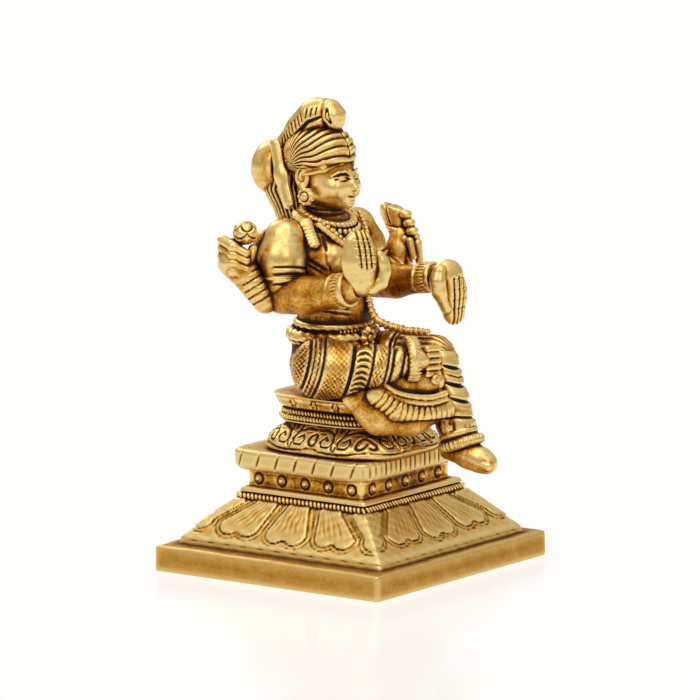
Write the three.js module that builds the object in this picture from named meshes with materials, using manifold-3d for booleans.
// A small brass temple figure: a four-armed deity seated at ease on a stepped square pedestal, one leg
// folded on the seat and one hanging. Millimetres, +Z up, the figure faces -Y, its right hand side is on -X,
// and the origin is the middle of the plinth's underside. Nothing moves: every piece is fixed to the next.
import * as THREE from "three";
import { mergeVertices } from "three/addons/utils/BufferGeometryUtils.js";
import Module from "manifold-3d";

const wasm = await Module();
wasm.setup();

// ---- driving dimensions ----
const GAP = 0.3; // joint line left between two pieces that meet on a curved face
const PLINTH = { halfWidth: 24, halfDepth: 22.3 };
const LEVEL = {
  floor: 0,
  plinth: 4.25,
  skirt: 11.25,
  moulding: 13.5,
  frieze: 16.1,
  cornice: 19.3,
  cushion: 23.75,
  ring: 26,
  seat: 28.5,
};
const ROUND = 10; // facets round a limb
const CAP = 2; // facets from a limb's side to the tip of its round end
const HOOP = { round: 14, section: 6 }; // facets round a ring and round its section

// ---- solids from three.js geometry ----
function toSolid(geometry) {
  geometry.deleteAttribute("normal");
  geometry.deleteAttribute("uv");
  const merged = mergeVertices(geometry, 1e-4);
  return new wasm.Manifold(
    new wasm.Mesh({
      numProp: 3,
      vertProperties: Float32Array.from(merged.attributes.position.array),
      triVerts: Uint32Array.from(merged.index.array),
    }),
  );
}

const join = (...solids) => solids.reduce((a, b) => a.add(b));

// A cone from one point to another with a round end at each, as a lathe turned about the line between them.
function roundCone([x0, y0, z0, r0], [x1, y1, z1, r1], grow) {
  const start = new THREE.Vector3(x0, y0, z0);
  const end = new THREE.Vector3(x1, y1, z1);
  const length = start.distanceTo(end);
  const ra = r0 + grow;
  const rb = r1 + grow;
  const lean = Math.asin(THREE.MathUtils.clamp((ra - rb) / length, -0.95, 0.95));
  const profile = [];
  for (let i = 0; i <= CAP; i++) {
    const a = -Math.PI / 2 + ((lean + Math.PI / 2) * i) / CAP;
    profile.push(new THREE.Vector2(i ? ra * Math.cos(a) : 0, ra * Math.sin(a)));
  }
  for (let i = 0; i <= CAP; i++) {
    const a = lean + ((Math.PI / 2 - lean) * i) / CAP;
    profile.push(new THREE.Vector2(i < CAP ? rb * Math.cos(a) : 0, length + rb * Math.sin(a)));
  }
  const geometry = new THREE.LatheGeometry(profile, ROUND);
  const along = new THREE.Vector3().subVectors(end, start).normalize();
  const turn = new THREE.Quaternion().setFromUnitVectors(new THREE.Vector3(0, 1, 0), along);
  return toSolid(geometry.applyQuaternion(turn).translate(x0, y0, z0));
}

// A limb through stations of [x, y, z, radius].
function limb(stations, grow = 0) {
  const cones = stations.slice(1).map((to, i) => roundCone(stations[i], to, grow));
  return join(...cones);
}

// An ellipsoid, turned by degrees about X, then Y, then Z.
function ball([x, y, z], [rx, ry, rz], grow = 0, [tx, ty, tz] = [0, 0, 0]) {
  const turn = new THREE.Euler(...[tx, ty, tz].map(THREE.MathUtils.degToRad), "XYZ");
  const geometry = new THREE.SphereGeometry(1, ROUND, 7)
    .rotateX(Math.PI / 2)
    .scale(rx + grow, ry + grow, rz + grow)
    .applyQuaternion(new THREE.Quaternion().setFromEuler(turn))
    .translate(x, y, z);
  return toSolid(geometry);
}

// A block with a level top and bottom and sloping sides: half sizes at the bottom and at the top.
function block([hx0, hy0], [hx1, hy1], z0, z1, cy = 0, grow = 0) {
  const low = z0 - grow;
  const high = z1 + grow;
  const geometry = new THREE.BoxGeometry(2, 2, 2);
  const p = geometry.attributes.position;
  for (let i = 0; i < p.count; i++) {
    const [hx, hy] = p.getZ(i) < 0 ? [hx0, hy0] : [hx1, hy1];
    p.setXYZ(i, p.getX(i) * (hx + grow), cy + p.getY(i) * (hy + grow), p.getZ(i) < 0 ? low : high);
  }
  return toSolid(geometry);
}

// A cylinder's rings made rounded rectangles: levels of [z, half width, half depth, middle y], lowest first.
function loft(levels, squareness, grow = 0, facets = 20) {
  const geometry = new THREE.CylinderGeometry(1, 1, levels.length - 1, facets, levels.length - 1);
  geometry.rotateX(Math.PI / 2).translate(0, 0, (levels.length - 1) / 2);
  const p = geometry.attributes.position;
  const bulge = (v) => (Math.abs(v) < 1e-5 ? 0 : Math.sign(v) * Math.abs(v) ** (2 / squareness));
  const last = levels.length - 1;
  for (let i = 0; i < p.count; i++) {
    const k = Math.round(p.getZ(i));
    const [z, hx, hy, cy] = levels[k];
    const reach = Math.hypot(p.getX(i), p.getY(i));
    const [ux, uy] = reach > 0.5 ? [p.getX(i) / reach, p.getY(i) / reach] : [0, 0];
    const step = k === 0 ? -grow : k === last ? grow : 0;
    p.setXYZ(i, (hx + grow) * bulge(ux), cy + (hy + grow) * bulge(uy), z + step);
  }
  return toSolid(geometry);
}

// A round ring about an axis.
function hoop([x, y, z], axis, radius, thickness, grow = 0, [sx, sy] = [1, 1]) {
  const geometry = new THREE.TorusGeometry(radius, thickness + grow, HOOP.section, HOOP.round);
  geometry.scale(sx, sy, 1);
  const along = new THREE.Vector3(...axis).normalize();
  const turn = new THREE.Quaternion().setFromUnitVectors(new THREE.Vector3(0, 0, 1), along);
  return toSolid(geometry.applyQuaternion(turn).translate(x, y, z));
}

// ---- pedestal, from the floor up ----
const plinthSlab = (g) =>
  block(
    [PLINTH.halfWidth, PLINTH.halfDepth],
    [PLINTH.halfWidth - 0.2, PLINTH.halfDepth - 0.2],
    LEVEL.floor,
    LEVEL.plinth,
    0,
    g,
  );

const lotusSkirt = (g) =>
  join(
    block([20.2, 20], [20.1, 19.9], LEVEL.plinth, LEVEL.plinth + 1, 0, g),
    block([20.1, 19.9], [14.4, 12.9], LEVEL.plinth + 1, LEVEL.skirt, 0, g),
  );

const ropeMoulding = (g) =>
  join(
    block([13.8, 12.3], [14.4, 12.9], LEVEL.skirt, LEVEL.skirt + 0.75, 0, g),
    block([14.4, 12.9], [13.4, 11.9], LEVEL.skirt + 0.75, LEVEL.moulding, 0, g),
  );

const bossedFrieze = (g) => block([12.3, 11.3], [12.3, 11.3], LEVEL.moulding, LEVEL.frieze, 0.5, g);

const flutedCornice = (g) =>
  loft(
    [
      [LEVEL.frieze, 12.8, 13.2, 1.9],
      [LEVEL.cornice, 13.1, 13.6, 1.9],
    ],
    12,
    g,
    24,
  );

const lotusCushion = (g) =>
  loft(
    [
      [LEVEL.cornice, 11.7, 12.2, -0.4],
      [LEVEL.cornice + 0.9, 12.2, 12.8, -0.4],
      [LEVEL.cornice + 2.4, 11.5, 11.9, -0.2],
      [LEVEL.cushion - 0.75, 9.7, 10, 0],
      [LEVEL.cushion, 8.8, 9.2, 0],
    ],
    3.4,
    g,
  );

const ropeRing = (g) =>
  loft(
    [
      [LEVEL.cushion, 8.8, 9, 0.4],
      [LEVEL.cushion + 1.1, 9.7, 9.9, 0.4],
      [LEVEL.ring, 8.8, 9, 0.4],
    ],
    4,
    g,
  );

const seatSlab = (g) =>
  loft(
    [
      [LEVEL.ring, 8.8, 9, 0.6],
      [LEVEL.ring + 1.4, 9.7, 9.8, 0.6],
      [LEVEL.seat, 10.5, 10.6, 0.6],
    ],
    4,
    g,
  );

// The thick fold of the seat cloth over the front of the seat, and the pleated fan that lies on it.
const seatBolster = (g) =>
  limb(
    [
      [-9, -8, 29, 2.2],
      [-6.2, -10.8, 27.4, 3.1],
      [-2.2, -13.4, 26.4, 3.1],
      [0.6, -14.8, 26.2, 2.6],
    ],
    g,
  );

const clothFan = (g) =>
  limb(
    [
      [-7.7, -11.3, 30.4, 1.3],
      [-5, -13.4, 29.5, 1.7],
      [-1.4, -15.4, 29, 1.7],
      [0.4, -16.3, 29, 1.3],
    ],
    g,
  );

// ---- the seated body ----
const torso = (g) =>
  join(
    loft(
      [
        [31.5, 7.8, 6.2, 3.5],
        [37.5, 7.5, 5.8, 3.6],
        [41.5, 6.5, 4.8, 3.8],
        [46.5, 7.4, 5.2, 4.2],
        [51.5, 8.2, 5.6, 5],
        [54.5, 7.5, 5, 5.5],
        [56.6, 4.6, 3.6, 5.4],
      ],
      2.1,
      g,
      18,
    ),
    roundCone([0, 5.8, 53.5, 3.4], [0, 5.2, 58.4, 2.9], g),
  );

const waistBelt = (g) => hoop([0, 3.6, 37.8], [0, -0.06, 1], 6.6, 1.1, g, [1.12, 0.9]);

const beltClasp = (g) => ball([-0.4, -3.2, 37.5], [1.5, 1, 1.5], g);

// Cloth-wrapped right leg, folded flat on the seat: hip, knee out to the side, ankle back to the middle.
const rightLeg = (g) =>
  limb(
    [
      [-3.8, 4.2, 33, 4.4],
      [-10.6, -2, 33.6, 4.7],
      [-12.4, -6, 34.4, 4.1],
      [-8.8, -10.8, 34.8, 3],
      [-6.2, -13.2, 35.2, 2],
    ],
    g,
  );

const rightAnklet = (g) => hoop([-3.9, -13.9, 35.5], [0.75, -0.66, 0], 2.8, 0.8, g, [1, 1.05]);

const rightFoot = (g) =>
  limb(
    [
      [-5, -13.8, 35, 1.5],
      [-1.8, -15.4, 35.4, 1.9],
      [0.4, -15.3, 35.2, 2],
      [0.6, -14.9, 33.2, 1.7],
    ],
    g,
  );

const leftThigh = (g) =>
  limb(
    [
      [3.8, 4.4, 33, 4.3],
      [5.2, -5, 34, 3.9],
      [5.6, -12.4, 34.8, 3.4],
    ],
    g,
  );

const leftShin = (g) =>
  limb(
    [
      [5.6, -13.4, 33, 3.2],
      [5.5, -15.7, 27, 3],
      [5.4, -16.8, 23.4, 3.1],
    ],
    g,
  );

const leftAnklet = (g) => hoop([5.2, -18.6, 20.9], [0, 0.3, 1], 2.6, 0.8, g, [0.95, 1.2]);

const leftFoot = (g) =>
  limb(
    [
      [5.1, -16.2, 19.7, 2],
      [5.1, -19.2, 18.9, 2.1],
      [5.3, -23.2, 17.9, 1.7],
    ],
    g,
  );

// ---- arms: the front pair in blessing, the rear pair holding emblems ----
const rightUpperArm = (g) =>
  limb(
    [
      [-9, 6.8, 53.6, 3.3],
      [-10.6, 6.4, 50.4, 3.6],
      [-11.2, 5.9, 46.2, 2.7],
    ],
    g,
  );

const rightForearm = (g) =>
  limb(
    [
      [-11.4, 5.4, 44.7, 2.8],
      [-11.2, -5.2, 46.5, 2.8],
    ],
    g,
  );

const rightArmlet = (g) => hoop([-11, 6, 47.9], [0.14, 0.12, 1], 3.2, 0.75, g);

const rightBangle = (g) => hoop([-11, -5.8, 46.7], [0, -1, 0.16], 2.7, 0.9, g);

const rightPalm = (g) =>
  join(
    ball([-10.4, -9.4, 49.4], [3.2, 1.6, 3.6], g, [0, 0, -37]),
    ball([-10.6, -8.9, 53.2], [2.9, 1.3, 3.3], g, [-6, 0, -37]),
    roundCone([-9, -10.9, 48.6, 1.2], [-8.3, -11, 51.6, 1], g),
  );

const rightRearUpperArm = (g) =>
  limb(
    [
      [-9.6, 9.6, 53, 2.2],
      [-10.6, 10.2, 50.4, 2.1],
      [-13, 8.2, 44.8, 2],
    ],
    g,
  );

const rightRearForearm = (g) =>
  limb(
    [
      [-13.4, 7.6, 44, 2],
      [-15.6, 9.9, 48, 2.2],
    ],
    g,
  );

const rightRearHand = (g) =>
  join(
    ball([-16.4, 11.2, 51.6], [2.4, 3.1, 3.2], g, [20, 0, 0]),
    roundCone([-16.6, 12.6, 54, 1.1], [-16.2, 9, 51.6, 0.9], g),
  );

const rightEmblem = (g) => ball([-15.8, 9.6, 55.6], [1.8, 2, 1.8], g);

const leftUpperArm = (g) =>
  limb(
    [
      [8.8, 5.4, 53.6, 3.2],
      [10, 4.6, 50.2, 3.3],
      [10.6, 3.8, 46.2, 2.6],
    ],
    g,
  );

const leftForearm = (g) =>
  limb(
    [
      [10.8, 2.8, 44.8, 2.7],
      [10.2, -6.8, 46.3, 2.4],
    ],
    g,
  );

const leftArmlet = (g) => hoop([10.3, 4.2, 47.9], [-0.12, 0.16, 1], 3, 0.7, g);

const leftBangle = (g) => hoop([10.2, -7.6, 46.5], [0, -1, 0.14], 2.4, 0.8, g);

const leftPalm = (g) =>
  join(
    ball([10, -11.6, 46.6], [2.8, 1.7, 3], g, [0, 0, -24]),
    ball([10, -12.4, 42.4], [2.6, 1.3, 3.7], g, [5, 0, -24]),
    roundCone([12.3, -11.4, 46.4, 0.9], [12.9, -11.8, 43.2, 0.8], g),
  );

const leftRearUpperArm = (g) =>
  limb(
    [
      [9.6, 8, 52.8, 2.2],
      [10.8, 7.8, 50.2, 2.1],
      [13, 4.6, 45.6, 2],
    ],
    g,
  );

const leftRearForearm = (g) =>
  limb(
    [
      [13.4, 3.8, 44.8, 2],
      [15.6, 2.4, 47.6, 2.2],
    ],
    g,
  );

const leftRearHand = (g) =>
  join(
    ball([16.4, 1.5, 50], [2.3, 2.8, 2.6], g),
    roundCone([16.8, -0.8, 51, 1.1], [16.8, -0.6, 48.2, 0.9], g),
  );

const leftEmblem = (g) =>
  join(
    roundCone([16.4, 2.6, 53, 1.5], [16.4, 3.6, 55.6, 1.9], g),
    roundCone([16.6, 0.2, 53.2, 1.1], [16.5, 1.4, 55.4, 1.2], g),
  );

// ---- head, hair and crown ----
const head = (g) =>
  join(
    ball([0, 5.9, 65], [4.6, 5, 5.2], g),
    ball([0, 4.3, 61.9], [4.1, 4.8, 4], g),
    ball([0, 0.2, 62.1], [0.8, 1.1, 1.5], g),
    ball([-4.7, 6.6, 62.9], [0.9, 1.4, 2.2], g),
    ball([4.7, 6.6, 62.9], [0.9, 1.4, 2.2], g),
  );

const hairCap = (g) => ball([0, 6.2, 67], [5.3, 5.6, 4.3], g, [-8, 0, 0]);

const hairFall = (g) =>
  limb(
    [
      [0, 12.6, 64.4, 2.6],
      [0, 13.2, 60.4, 2.9],
      [0, 11.8, 56.6, 2.3],
    ],
    g,
  );

const hairBun = (g) => ball([0, 15.2, 63.8], [4.35, 3.3, 4.4], g);

const crownBand = (g) =>
  limb(
    [
      [0, 12.4, 67.2, 2.2],
      [0, 9.2, 70.3, 2.8],
      [0, 6.4, 73, 2.9],
    ],
    g,
  );

const crownCrest = (g) => ball([0, 3.3, 73.1], [2.7, 2.2, 2.9], g, [14, 0, 0]);

const ribbon = (side) => (g) =>
  limb(
    [
      [side * 3.8, 12.2, 67.4, 0.9],
      [side * 4.7, 10.4, 62.6, 0.9],
      [side * 5.2, 8.6, 58.9, 0.8],
    ],
    g,
  );

const earring = (side) => (g) => ball([side * 5.8, 4.9, 60.3], [1.1, 1.3, 1.3], g);

// ---- jewellery on the chest ----
const collar = (g) => hoop([0, 4.7, 56.7], [0, -0.34, 1], 3.9, 0.8, g, [1.12, 1]);

const beadNecklace = (g) =>
  limb(
    [
      [-5.4, 2.6, 55.9, 0.75],
      [-3.2, -0.2, 52.8, 0.85],
      [0, -1.2, 50.8, 0.95],
      [3.2, -0.2, 52.8, 0.85],
      [5.4, 2.6, 55.9, 0.75],
    ],
    g,
  );

const lappet = (side) => (g) =>
  limb(
    [
      [side * 6, 6.4, 57, 1],
      [side * 7, 1.9, 53.6, 1],
    ],
    g,
  );

const garland = (g) =>
  limb(
    [
      [1.2, -1.7, 46.6, 0.7],
      [1.4, -2.4, 43, 0.8],
      [1.6, -3.8, 40, 0.9],
      [2.6, -8.2, 38.7, 0.8],
      [3.6, -12.8, 38.6, 0.75],
    ],
    g,
  );

// ---- the pieces, each with its shape and then the pieces that it is let into, with a joint line to each ----
const pedestal = {
  plinth_slab: [plinthSlab],
  lotus_skirt: [lotusSkirt],
  rope_moulding: [ropeMoulding],
  bossed_frieze: [bossedFrieze],
  fluted_cornice: [flutedCornice],
  lotus_cushion: [lotusCushion],
  rope_ring: [ropeRing],
  seat_slab: [seatSlab],
};

const figure = {
  torso: [torso, "seat_slab"],
  right_leg: [rightLeg, "seat_slab", "torso"],
  left_thigh: [leftThigh, "seat_slab", "torso", "right_leg"],
  left_shin: [leftShin, "left_thigh", "seat_slab", "lotus_cushion"],
  left_foot: [leftFoot, "left_shin", "lotus_cushion"],
  left_anklet: [leftAnklet, "left_shin", "left_foot", "lotus_cushion"],
  right_anklet: [rightAnklet, "right_leg", "left_thigh", "left_shin"],
  right_foot: [rightFoot, "right_leg", "right_anklet", "left_thigh", "left_shin"],
  cloth_fan: [
    clothFan,
    "right_leg",
    "right_foot",
    "right_anklet",
    "left_shin",
    "left_thigh",
    "seat_slab",
  ],
  seat_bolster: [
    seatBolster,
    "seat_slab",
    "rope_ring",
    "lotus_cushion",
    "right_leg",
    "cloth_fan",
    "right_foot",
    "left_shin",
    "left_thigh",
    "left_foot",
    "left_anklet",
  ],
  waist_belt: [waistBelt, "torso", "right_leg", "left_thigh"],
  belt_clasp: [beltClasp, "waist_belt", "torso", "right_leg", "left_thigh"],
  right_upper_arm: [rightUpperArm, "torso"],
  left_upper_arm: [leftUpperArm, "torso"],
  right_forearm: [rightForearm, "right_upper_arm", "torso"],
  left_forearm: [leftForearm, "left_upper_arm", "torso"],
  right_bangle: [rightBangle, "right_forearm"],
  left_bangle: [leftBangle, "left_forearm"],
  right_palm: [rightPalm, "right_forearm", "right_bangle"],
  left_palm: [leftPalm, "left_forearm", "left_bangle"],
  right_rear_upper_arm: [rightRearUpperArm, "torso", "right_upper_arm", "right_forearm"],
  left_rear_upper_arm: [leftRearUpperArm, "torso", "left_upper_arm", "left_forearm"],
  right_rear_forearm: [
    rightRearForearm,
    "right_rear_upper_arm",
    "right_upper_arm",
    "right_forearm",
  ],
  left_rear_forearm: [leftRearForearm, "left_rear_upper_arm", "left_upper_arm", "left_forearm"],
  right_armlet: [
    rightArmlet,
    "torso",
    "right_upper_arm",
    "right_forearm",
    "right_rear_upper_arm",
    "right_rear_forearm",
  ],
  left_armlet: [
    leftArmlet,
    "torso",
    "left_upper_arm",
    "left_forearm",
    "left_rear_upper_arm",
    "left_rear_forearm",
  ],
  right_rear_hand: [rightRearHand, "right_rear_forearm", "right_upper_arm"],
  left_rear_hand: [leftRearHand, "left_rear_forearm", "left_forearm", "left_upper_arm"],
  right_emblem: [rightEmblem, "right_rear_hand"],
  left_emblem: [leftEmblem, "left_rear_hand"],
  head: [head, "torso"],
  crown_band: [crownBand, "head"],
  crown_crest: [crownCrest, "crown_band"],
  hair_cap: [hairCap, "head", "crown_band", "crown_crest"],
  hair_fall: [hairFall, "head", "torso", "crown_band", "hair_cap"],
  hair_bun: [hairBun, "hair_fall", "crown_band"],
  right_ribbon: [
    ribbon(-1),
    "head",
    "hair_fall",
    "hair_bun",
    "torso",
    "crown_band",
    "hair_cap",
    "right_upper_arm",
  ],
  left_ribbon: [
    ribbon(1),
    "head",
    "hair_fall",
    "hair_bun",
    "torso",
    "crown_band",
    "hair_cap",
    "left_upper_arm",
  ],
  right_earring: [earring(-1), "head", "right_ribbon"],
  left_earring: [earring(1), "head", "left_ribbon"],
  collar: [collar, "torso", "head", "right_ribbon", "left_ribbon"],
  right_lappet: [lappet(-1), "torso", "right_upper_arm", "collar", "right_ribbon"],
  left_lappet: [lappet(1), "torso", "left_upper_arm", "collar", "left_ribbon"],
  bead_necklace: [beadNecklace, "torso", "collar", "right_lappet", "left_lappet"],
  garland: [
    garland,
    "torso",
    "waist_belt",
    "belt_clasp",
    "left_thigh",
    "right_leg",
    "bead_necklace",
  ],
};

// The largest body of a solid, without the crumbs that a cut can leave.
function largest(solid) {
  const bodies = solid.decompose();
  return bodies.reduce((a, b) => (b.volume() > a.volume() ? b : a));
}

function toMesh(name, solid, material) {
  const { vertProperties, triVerts } = solid.getMesh();
  const geometry = new THREE.BufferGeometry();
  geometry.setAttribute("position", new THREE.BufferAttribute(vertProperties, 3));
  geometry.setIndex(new THREE.BufferAttribute(triVerts, 1));
  geometry.computeVertexNormals();
  const mesh = new THREE.Mesh(geometry, material);
  mesh.name = name;
  return mesh;
}

const brass = (color, roughness) => new THREE.MeshStandardMaterial({ color, roughness, metalness: 1 });
const satinBrass = brass(0xb98a35, 0.42);
const buffedBrass = brass(0xd9ac4f, 0.3);

const pieces = { ...pedestal, ...figure };
const statue = new THREE.Group();
statue.name = "seated_figure";
for (const [name, [make, ...neighbours]] of Object.entries(pieces)) {
  const cut = neighbours.reduce((rest, other) => rest.subtract(pieces[other][0](GAP)), make(0));
  statue.add(toMesh(name, largest(cut), name in pedestal ? satinBrass : buffedBrass));
}

export default statue;
